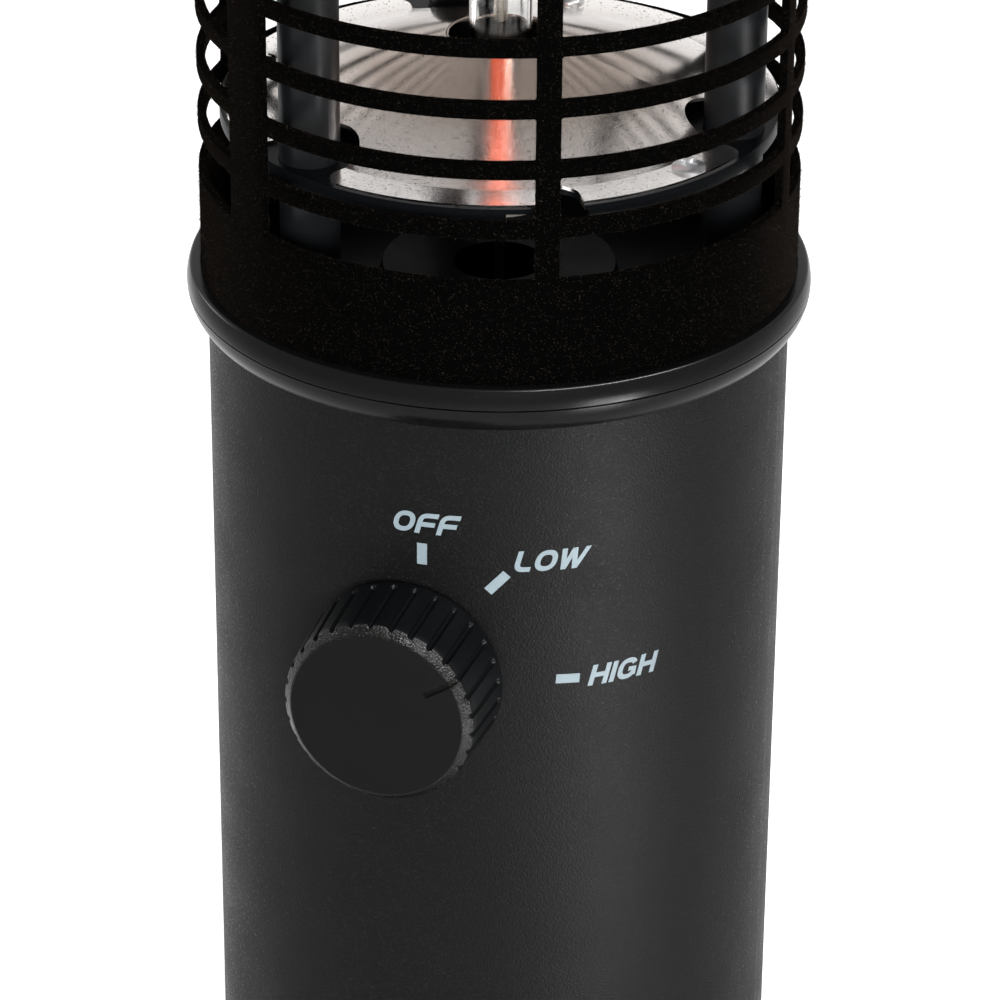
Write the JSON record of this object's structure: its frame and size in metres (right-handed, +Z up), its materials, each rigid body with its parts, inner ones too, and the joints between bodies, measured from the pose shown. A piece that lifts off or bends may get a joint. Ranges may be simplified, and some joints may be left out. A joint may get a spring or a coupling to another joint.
{
  "type": "electric patio heater",
  "caption": "Free-standing electric patio heater: weighted round base, slim column with a rotary switch, and a lantern head whose quartz lamp stands between reflectors in a slotted guard cage.",
  "frame": {"origin": "centre of the footprint on the ground", "axes": "+Z up along the column, the knob faces -Y, +X to the right of someone who faces the knob"},
  "size_m": [0.23, 0.23, 0.6546],
  "materials": {
    "powder_black": "satin black powder coat with a fine sparkle",
    "flocked_sheet": "black flocked sheet steel",
    "plastic_black": "satin moulded plastic",
    "knob_black": "matte face, polished grip and fine textured edge",
    "post_slate": "dark slate satin enamel",
    "reflector_sheet": "bright rolled sheet with fine pits",
    "steel": "zinc-plated",
    "ballast_iron": "as cast",
    "rubber": "matte moulded rubber",
    "ceramic": "unglazed steatite ceramic",
    "brass": "turned",
    "quartz": "clear fused quartz",
    "filament": "glowing resistance wire",
    "wire_sleeve": "silicone sleeve"
  },
  "bodies": {
    "heater": {"rubber_feet": "rubber", "bottom_cover": "powder_black", "bottom_screws": "steel", "ballast_disc": "ballast_iron", "base_cover": "powder_black", "column_bolts": "steel", "clamp_ring": "steel", "tip_housing": "plastic_black", "tip_housing_screws": "steel", "tip_spring": "steel", "tip_microswitch": "plastic_black", "tip_switch_screws": "steel", "column_tube": "powder_black", "column_foot": "powder_black", "cable_gland": "plastic_black", "gland_nut": "plastic_black", "terminal_bracket": "steel", "bracket_screws": "steel", "terminal_block": "ceramic", "terminal_screws": "brass", "rotary_switch": "plastic_black", "switch_nut": "steel", "thermal_cutout": "steel", "column_top_plate": "powder_black", "column_collar": "plastic_black", "cage_foot_collar": "plastic_black", "cage_head_collar": "plastic_black", "cap_collar": "plastic_black", "post_right": "post_slate", "post_rear": "post_slate", "post_front_left": "post_slate", "post_nipples": "steel", "nipple_nuts": "steel", "head_plate": "powder_black", "post_bolts": "steel", "lower_pan": "powder_black", "upper_pan": "powder_black", "pan_clips": "steel", "lower_reflector": "reflector_sheet", "upper_reflector": "reflector_sheet", "reflector_screws": "steel", "lower_lampholder": "ceramic", "upper_lampholder": "ceramic", "holder_screws": "steel", "lamp_bases": "ceramic", "lamp_leads": "steel", "quartz_tube": "quartz", "heating_filament": "filament", "guard_cage": "flocked_sheet", "top_cap": "powder_black", "cap_stud": "steel", "cap_nut": "steel", "wiring": "wire_sleeve"},
    "knob": {"control_knob": "knob_black", "switch_shaft": "steel", "knob_spring_clip": "steel"},
    "plunger": {"tip_plunger": "plastic_black"}
  },
  "joints": [
    {"name": "knob_turn", "type": "hinge", "parent": "heater", "child": "knob", "pos_m": [0, -0.08, 0.2625], "axis": [0, 1, 0], "range_deg": [-51, 35.5]},
    {"name": "tip_plunge", "type": "slide", "parent": "heater", "child": "plunger", "axis": [0, 0, -1], "range_m": [0, 0.004], "stiffness_N_per_m": 100, "springref_m": 0.006, "deforming": ["tip_spring"]}
  ]
}
